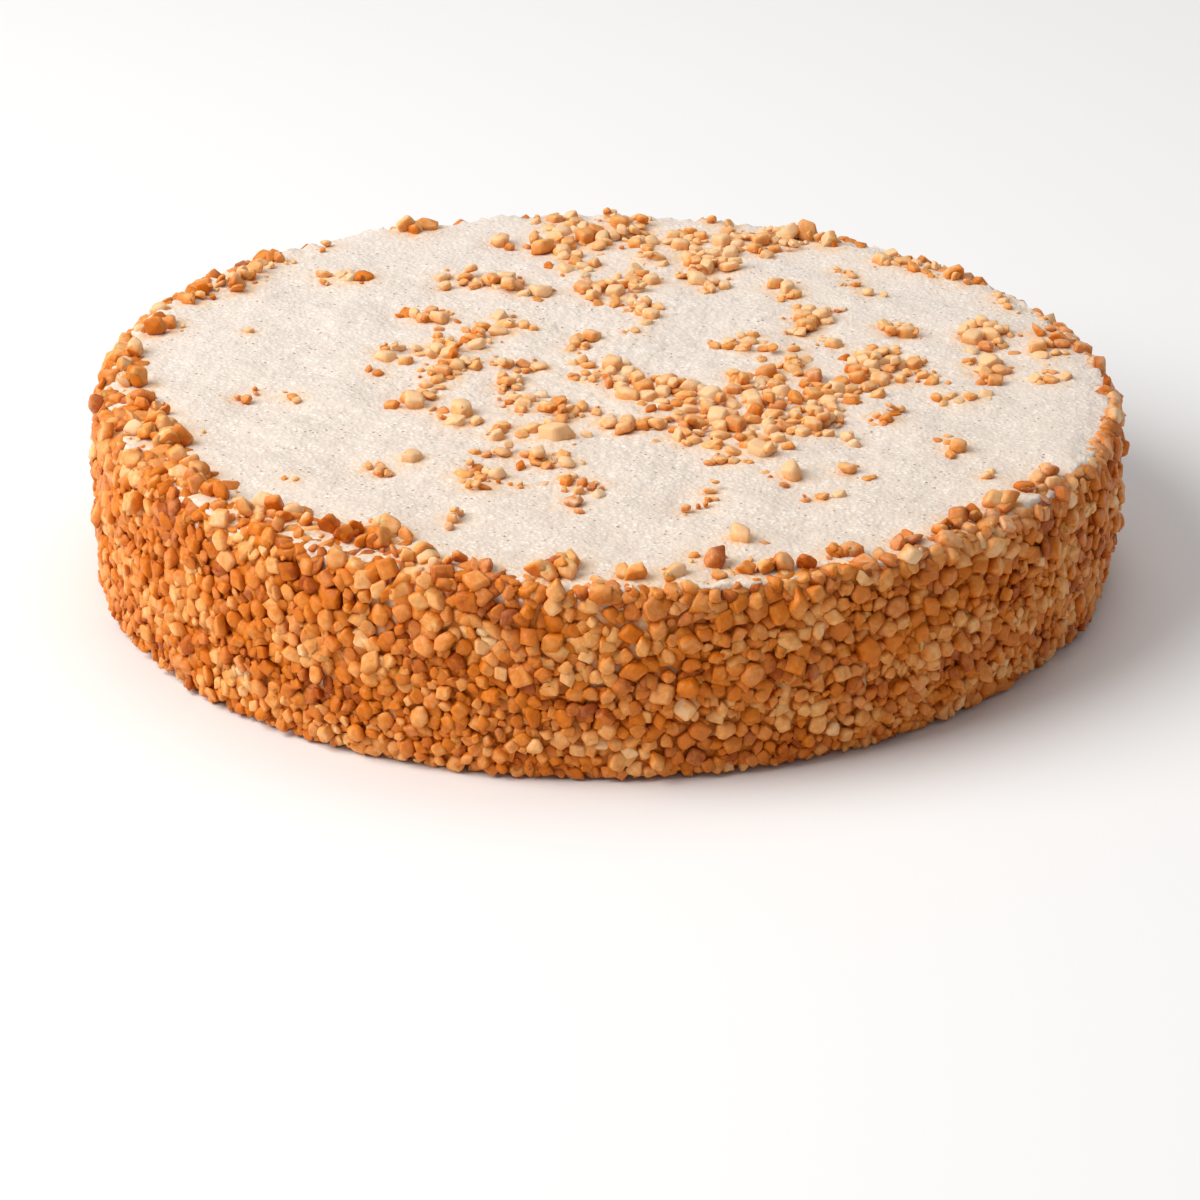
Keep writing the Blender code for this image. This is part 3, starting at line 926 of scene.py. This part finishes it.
def nut_material(name):
    """Roasted nut flesh, each nut roasted to its own degree with painted shade in the same ramp, and some
    dusted with sugar.
    """
    looks = bpy.context.scene.nut_looks
    nodes = NodeTree(name)
    # The roast attribute also carries painted shade
    roast_and_shade = nodes.add("ShaderNodeAttribute", attribute_name="roast_and_shade")
    offset = nodes.add("ShaderNodeMath", operation="MULTIPLY_ADD")
    offset.inputs[1].default_value = 0.8
    offset.inputs[2].default_value = -0.24
    nodes.join(roast_and_shade, "Fac", offset, 0)
    mottled = nodes.add("ShaderNodeMath", operation="MULTIPLY_ADD")
    mottled.inputs[1].default_value = 0.88
    nodes.join(nodes.noise(520, 4, 0.65), "Fac", mottled, 0)
    nodes.join(offset, 0, mottled, 2)
    flesh = nodes.ramp(
        mottled,
        0,
        (
            (0.0, looks.blanched),
            (0.2, looks.pale),
            (0.4, blend(looks.pale, looks.golden, 0.55)),
            (0.6, looks.golden),
            (0.856, blend(looks.golden, looks.toasted, 0.4)),
            (1.0, looks.toasted),
        ),
    )
    dust = nodes.add("ShaderNodeAttribute", attribute_name="dust")
    powder = nodes.ramp(nodes.noise(650, 3, 0.6), "Fac", ((0.35, grey(0.1)), (0.65, grey(1.0))))
    dusted = nodes.covered(flesh, "Color", nodes.product(powder, dust), looks.powder)
    nodes.join(dusted, "Result", nodes.shader, "Base Color")
    nodes.surface(0.36, 0.17)
    nodes.depth(0.5, (1.0, 0.64, 0.36), 0.0012)
    grain = nodes.bump(nodes.noise(1100, 3, 0.65), "Fac", 0.42, 0.0003)
    nodes.join(grain, "Normal", nodes.shader, "Normal")
    return nodes.material


def cream_material():
    """Cream between the nuts, mostly a dark amber-brown of painted shade between them, with cream
    patches, and cleaner near the top edge.
    """
    looks = bpy.context.scene.cream_looks
    nodes = NodeTree("coat_cream")
    # Mostly painted shade between the nuts, with patches of cream
    patches = nodes.ramp(nodes.noise(70, 4, 0.6), "Fac", ((0.56, looks.shaded), (0.70, looks.cream)))
    near_top = nodes.between("Z", sizes().height - 0.0060, sizes().height - 0.0030)
    colour = nodes.covered(patches, "Color", near_top, looks.clean)
    nodes.join(colour, "Result", nodes.shader, "Base Color")
    nodes.surface(0.6, 0.25)
    nodes.depth(0.2, (1.0, 0.5, 0.25), 0.001)
    lumps = nodes.bump(nodes.noise(420, 4, 0.6), "Fac", 0.5, 0.0008)
    nodes.join(lumps, "Normal", nodes.shader, "Normal")
    return nodes.material


def sugar_material():
    """Cream dusted with icing sugar: off-white, faintly mottled, with specks and pale flecks."""
    looks = bpy.context.scene.cream_looks
    nodes = NodeTree("sugared_cream")
    shades = ((0.3, [0.93 * c for c in looks.sugar]), (0.7, [1.04 * c for c in looks.sugar]))
    base = nodes.ramp(nodes.noise(190, 5, 0.7), "Fac", shades)
    front = nodes.between("Y", 0.02, -0.12)
    warmed = nodes.covered(base, "Color", front, (0.985, 0.955, 0.915), "MULTIPLY")

    grains = nodes.cells(760)
    bright = nodes.ramp(grains, "Distance", ((0.12, grey(0.75)), (0.50, grey(0.0))))
    clusters = nodes.ramp(nodes.noise(220, 4, 0.65), "Fac", ((0.42, grey(0.1)), (0.60, grey(1.2))))
    flecked = nodes.covered(warmed, "Result", nodes.product(bright, clusters), looks.fleck)

    dots = nodes.ramp(nodes.cells(400), "Distance", ((0.09, grey(0.85)), (0.19, grey(0.0))))
    sparse = nodes.ramp(nodes.noise(200, 1, 0.5), "Fac", ((0.40, grey(0.0)), (0.52, grey(1.0))))
    specked = nodes.covered(flecked, "Result", nodes.product(dots, sparse), looks.speck)

    # Painted warm bounce light and soft shade round the nuts on the sugar
    nut_halo_light = nodes.add("ShaderNodeAttribute", attribute_name="nut_halo_light")
    blotches = nodes.ramp(nodes.noise(300, 3, 0.6), "Fac", ((0.36, grey(0.06)), (0.64, grey(0.95))))
    shaded = nodes.covered(specked, "Result", nodes.product(nut_halo_light, blotches), looks.nut_halo_colour)
    nodes.join(shaded, "Result", nodes.shader, "Base Color")
    nodes.surface(0.85, 0.2)
    nodes.depth(0.12, (1.0, 0.8, 0.6), 0.0008)

    coarse = nodes.bump(nodes.noise(560, 4, 0.65), "Fac", 0.45, 0.0005)
    granular = nodes.bump(grains, "Distance", 0.5, 0.0004, under=coarse)
    granular.invert = True
    fine = nodes.bump(nodes.noise(1500, 3, 0.7), "Fac", 0.4, 0.0003, under=granular)
    nodes.join(fine, "Normal", nodes.shader, "Normal")
    return nodes.material


def floor_material():
    """Plain near-white paper."""
    nodes = NodeTree("studio_floor")
    nodes.shader.inputs["Base Color"].default_value = (0.88, 0.88, 0.88, 1)
    nodes.surface(0.9, 0.1)
    return nodes.material


# Pieces


def spun(profile, columns):
    """A closed round shape from a profile that starts and ends on the axis, foot first."""
    shape = bmesh.new()
    line = [shape.verts.new((radius, 0, height)) for radius, height in profile]
    edges = [shape.edges.new(pair) for pair in zip(line, line[1:])]
    bmesh.ops.spin(
        shape,
        geom=line + edges,
        cent=(0, 0, 0),
        axis=(0, 0, 1),
        angle=math.tau,
        steps=columns,
        use_merge=True,
    )
    bmesh.ops.remove_doubles(shape, verts=shape.verts, dist=1e-6)
    bmesh.ops.recalc_face_normals(shape, faces=shape.faces)
    return shape


def finished_piece(name, shape, material):
    """An object of a shape, smooth all over, with its material."""
    for face in shape.faces:
        face.smooth = True
    mesh = bpy.data.meshes.new(name)
    shape.to_mesh(mesh)
    shape.free()
    mesh.materials.append(material)
    piece = bpy.data.objects.new(name, mesh)
    bpy.context.scene.collection.objects.link(piece)
    return piece


class CAKE_OT_cream_core(Operator):
    """Make the cream core that the nuts are pressed into"""

    bl_idname = "cake.cream_core"
    bl_label = "Cream Core"

    def execute(self, context):
        steps, columns = 30, 240
        edge_top = sizes().height - EDGE_DOWN + EDGE_ARC
        profile = [(0, 0)] + [(1, row / steps) for row in range(steps + 1)] + [(0, 1)]
        shape = spun(profile, columns)
        for vertex in shape.verts:
            along = vertex.co.z * edge_top
            if vertex.co.xy.length < 0.5:
                vertex.co.z = coat_point(0, along)[0].z if along else 0
                vertex.co.z -= sizes().coat_depth if along else 0
                continue
            angle = math.atan2(vertex.co.y, vertex.co.x)
            point, outward = coat_point(angle, along)
            vertex.co = point - outward * sizes().coat_depth
            vertex.co.z = max(0.0, vertex.co.z)
        for vertex in shape.verts:
            vertex.co = lean(vertex.co)
        piece = finished_piece("cream_core", shape, cream_material())
        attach(piece, "root")
        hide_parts("cake")
        return {"FINISHED"}


def halo_light_by_nuts(points, chips):
    """How much painted warm bounce light and soft shade each point of the sugar gets from the nuts near
    it, from 0 to 1.
    """
    tree = KDTree(len(chips))
    for number, chip in enumerate(chips):
        tree.insert(Vector((chip.place.x, chip.place.y, 0)), number)
    tree.balance()
    nut_halo_light = np.zeros(len(points))
    for index, point in enumerate(points):
        for _, number, apart in tree.find_n(Vector((point[0], point[1], 0)), 3):
            edge = 0.42 * chips[number].size[0]
            nut_halo_light[index] += math.exp(-max(0.0, apart - edge) / HALO_LIGHT_REACH)
    return np.clip(nut_halo_light, 0, 1)


class CAKE_OT_sugar_crust(Operator):
    """Make the rough crust of sugared cream on the top"""

    bl_idname = "cake.sugar_crust"
    bl_label = "Sugar Crust"

    def execute(self, context):
        top = sizes().height
        edge_start = top - EDGE_DOWN
        rings, arcs, columns = 110, 12, 440
        profile = [(0, 0)]
        profile += [(1, 0.1 + 0.9 * step / arcs) for step in range(arcs + 1)]
        profile += [(ring / rings, 1) for ring in range(rings - 1, -1, -1)]
        shape = spun(profile, columns)
        layer = shape.verts.layers.float.new("nut_halo_light")
        verts = list(shape.verts)
        points = np.array([vertex.co for vertex in verts])
        angles = np.arctan2(points[:, 1], points[:, 0])
        unrolled = np.stack((angles * sizes().wall_radius, points[:, 2] * EDGE_ARC), axis=1)
        ragged = relief(unrolled, *RAGGED_EDGE)
        for point, angle, jag in zip(points, angles, ragged):
            away = math.hypot(point[0], point[1])
            turned = point[2]
            if turned < 0.05:
                point[2] = top - 0.006
                continue
            bare = min(1, max(0, -climb(angle) / 0.006 - 0.3))
            tuck = CRUST_TUCK + (CRUST_BARE_TUCK - CRUST_TUCK) * bare
            depth = CRUST_BEDDING * min(1, max(0, (away - 0.96) / 0.04))
            depth += tuck * (1 - turned) ** 1.3
            depth += jag * min(1, max(0, (away - 0.97) / 0.02))
            place, outward = coat_point(angle, edge_start + EDGE_ARC * turned)
            place = place - outward * depth
            point[:] = (place.x * away, place.y * away, place.z)
        upper = np.clip((points[:, 2] - top + 0.0055) / 0.003, 0, 1)
        rough = sum(relief(points, *kind) for kind in (DRIFTED_SUGAR, LUMPY_SUGAR, GRAINY_SUGAR))
        points[:, 2] += rough * upper
        # Painted warm bounce light and soft shade round the nuts, kept at each point
        nut_halo_light = halo_light_by_nuts(points, drift_chips() + rim_chips())
        for vertex, point, value in zip(verts, points, nut_halo_light):
            vertex.co = lean(Vector(point))
            vertex[layer] = value
        piece = finished_piece("sugar_crust", shape, sugar_material())
        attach(piece, "root")
        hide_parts("sugar_top")
        return {"FINISHED"}


def finished_nuts(name, chips, library, seed, finish, solid):
    """A piece of many nuts in place of a solid."""
    piece = scatter(name, chips, library, seed, finish)
    piece.data.materials.append(bpy.data.materials.get("roasted_nut") or nut_material("roasted_nut"))
    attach(piece, "root")
    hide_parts(solid)


class CAKE_OT_wall_nuts(Operator):
    """Press chopped nuts all over the wall, large ones first and fine ones between them"""

    bl_idname = "cake.wall_nuts"
    bl_label = "Wall Nuts"

    def execute(self, context):
        sharp = [worn_chip(number, 0) for number in range(CHIP_SHAPES)]
        worn = [worn_chip(number, 1) for number in range(CHIP_SHAPES)]
        large = large_wall_chips() + shoulder_chips()
        under = pressed_chips(
            seed=11, tries=4200, longest=0.0060, shortest=0.0042, depth=0.0013, spacing=0.28
        )
        outer = pressed_chips(
            seed=12, tries=2800, longest=0.0070, shortest=0.0040, depth=0.0005, spacing=0.32, taken=large
        )
        fine = pressed_chips(
            seed=13,
            tries=1700,
            longest=0.0040,
            shortest=0.0028,
            depth=0.0006,
            spacing=0.35,
            taken=large + outer,
        )
        # Each finish adds painted shade towards the side a nut lies on; the bedded nuts' darker roast is
        # painted shade in the recesses between the outer nuts
        outside = Finish(roast=0.24, dusting=0.14, glaze=0.26, crispness=0.62)
        bedded = Finish(roast=0.32, dusting=0.1, glaze=0.2, crispness=0.75)
        finished_nuts("wall_nuts_large", large, worn, 30, outside, "cake")
        finished_nuts("wall_nuts_under", under, sharp, 31, bedded, "cake")
        finished_nuts("wall_nuts_outer", outer, worn, 32, outside, "cake")
        finished_nuts("wall_nuts_fine", fine, worn, 33, outside, "cake")
        return {"FINISHED"}


def beside(chips, share, lengths, closeness, sunk, seed):
    """Small nuts that lie against some of the others, each sunk by a share of its length."""
    draw = np.random.default_rng(seed)
    small = []
    for chip in chips:
        if draw.uniform(0, 1) > share:
            continue
        size, kind = draw_chip(draw, min(draw.uniform(*lengths), 0.9 * chip.size[0]))
        turn = chip_turn(draw, UP, 0.5)
        heading = draw.uniform(0, math.tau)
        apart = closeness * draw.uniform(0.8, 1.3) * 0.5 * (chip.size[0] + size[0])
        place = chip.place + Vector((math.cos(heading), math.sin(heading), 0)) * apart
        if place.xy.length + size[0] / 2 < sizes().sugar_radius:
            place = resting(place, size, turn, kind) - UP * sunk * size[0]
            small.append(Chip(place, size, turn, kind))
    return small


class CAKE_OT_top_nuts(Operator):
    """Strew chopped nuts over the top in drifts and along its rim"""

    bl_idname = "cake.top_nuts"
    bl_label = "Top Nuts"

    def execute(self, context):
        round_worn = [worn_chip(number, 2, HEAVY_WEAR) for number in range(CHIP_SHAPES)]
        worn = [worn_chip(number, 1) for number in range(CHIP_SHAPES)]
        drift, rim = drift_chips(), rim_chips()
        wedged = beside(drift, 0.62, (0.0033, 0.0054), closeness=0.88, sunk=0.05, seed=54)
        veiled = beside(drift, 0.55, (0.0038, 0.0060), closeness=1.0, sunk=0.20, seed=55)
        piled = beside(drift, 0.20, (0.0034, 0.0050), closeness=0.5, sunk=-0.40, seed=58)
        crumbs = beside(drift + rim, 0.6, (0.0012, 0.0022), closeness=1.2, sunk=0, seed=52)
        # Each finish adds painted shade towards the side a nut lies on, and the rim nuts' is darker
        # towards the front right, painted shade on the side away from the key light
        strewn = Finish(roast=-0.24, dusting=0.55, glaze=0.24, crispness=0.4)
        dusted = Finish(roast=-0.17, dusting=1.5, glaze=0.1, crispness=0.4)
        climbed = Finish(roast=-0.08, dusting=0.3, glaze=0.32, crispness=0.5, browned=0.24)
        crumbled = Finish(roast=-0.07, dusting=0.9, glaze=0.1, crispness=0.5)
        finished_nuts("drift_nuts", drift, round_worn, 50, strewn, "sugar_top")
        finished_nuts("wedged_nuts", wedged + piled, round_worn, 56, strewn, "sugar_top")
        finished_nuts("veiled_nuts", veiled, round_worn, 57, dusted, "sugar_top")
        finished_nuts("rim_nuts", rim, round_worn, 51, climbed, "sugar_top")
        finished_nuts("nut_crumbs", crumbs, worn, 53, crumbled, "sugar_top")
        return {"FINISHED"}


class StageSettings(PropertyGroup):
    """Camera, lights and floor"""

    camera_distance: FloatProperty(
        name="Camera Distance",
        description="How far the camera stands from the cake",
        default=1.42,
        unit="LENGTH",
    )
    camera_tilt: FloatProperty(
        name="Camera Tilt",
        description="How far above the horizon the camera looks down from",
        default=math.radians(24.07),
        subtype="ANGLE",
        unit="ROTATION",
    )
    lens: FloatProperty(
        name="Lens",
        description="Focal length on a 36 mm wide sensor",
        default=156.8,
        unit="CAMERA",
    )
    key_power: FloatProperty(
        name="Key Power",
        description="Power of the large soft light at the front left, in watts",
        default=38,
    )
    top_power: FloatProperty(
        name="Top Power",
        description="Power of the soft light from above, in watts",
        default=6,
    )
    surroundings: FloatProperty(
        name="Surroundings",
        description="How bright the even white light from all round is",
        default=0.32,
    )


def soft_light(name, place, size, power, colour):
    """A round soft light that points at the cake."""
    lamp = bpy.data.lights.new(name, "AREA")
    lamp.shape = "DISK"
    lamp.size = size
    lamp.energy = power
    lamp.color = colour
    light = bpy.data.objects.new(name, lamp)
    light.location = place
    light.rotation_euler = (Vector(LIT_POINT) - Vector(place)).to_track_quat("-Z", "Y").to_euler()
    bpy.context.scene.collection.objects.link(light)


class CAKE_OT_stage(Operator):
    """Set up the floor, the soft lights and the camera"""

    bl_idname = "cake.stage"
    bl_label = "Stage"

    def execute(self, context):
        scene = context.scene
        settings = scene.cake_stage
        shape = bmesh.new()
        bmesh.ops.create_grid(shape, x_segments=2, y_segments=2, size=4)
        floor = finished_piece("studio_floor", shape, floor_material())
        world = bpy.data.worlds.new("studio")
        world.use_nodes = True
        background = world.node_tree.nodes["Background"]
        background.inputs["Color"].default_value = (1, 1, 1, 1)
        background.inputs["Strength"].default_value = settings.surroundings
        scene.world = world
        soft_light("key", (-1.280, -0.385, 1.204), 1.6, settings.key_power, (1, 0.98, 0.95))
        soft_light("top", (0.2, 0.5, 1.6), 1.2, settings.top_power, (1, 1, 1))
        camera_data = bpy.data.cameras.new("camera")
        camera_data.sensor_width = SENSOR_WIDTH
        camera_data.lens = settings.lens
        camera = bpy.data.objects.new("camera", camera_data)
        tilt = settings.camera_tilt
        back = Vector((0, -math.cos(tilt), math.sin(tilt)))
        camera.location = Vector(VIEWED_POINT) + back * settings.camera_distance
        camera.rotation_euler = (-back).to_track_quat("-Z", "Y").to_euler()
        scene.collection.objects.link(camera)
        scene.camera = camera
        scene.view_settings.view_transform = "Standard"
        return {"FINISHED"}


class CAKE_PT_panel(Panel):
    """Buttons that build the cake, in order"""

    bl_label = "Cake"
    bl_idname = "CAKE_PT_panel"
    bl_space_type = "VIEW_3D"
    bl_region_type = "UI"
    bl_category = "Cake"

    def draw(self, context):
        for operator in OPERATORS:
            self.layout.operator(operator.bl_idname)


OPERATORS = (
    CAKE_OT_cream_core,
    CAKE_OT_sugar_crust,
    CAKE_OT_wall_nuts,
    CAKE_OT_top_nuts,
    CAKE_OT_stage,
)
GROUPS = (
    ("cake_sizes", CakeSizes),
    ("nut_looks", NutLooks),
    ("cream_looks", CreamLooks),
    ("cake_stage", StageSettings),
)


def register():
    for name, group in GROUPS:
        bpy.utils.register_class(group)
        setattr(bpy.types.Scene, name, PointerProperty(type=group))
    for operator in OPERATORS:
        bpy.utils.register_class(operator)
    bpy.utils.register_class(CAKE_PT_panel)


def unregister():
    bpy.utils.unregister_class(CAKE_PT_panel)
    for operator in reversed(OPERATORS):
        bpy.utils.unregister_class(operator)
    for name, group in reversed(GROUPS):
        delattr(bpy.types.Scene, name)
        bpy.utils.unregister_class(group)


def main():
    register()
    bpy.ops.cake.cream_core()
    bpy.ops.cake.sugar_crust()
    bpy.ops.cake.wall_nuts()
    bpy.ops.cake.top_nuts()
    bpy.ops.cake.stage()


if __name__ == "__main__":
    main()
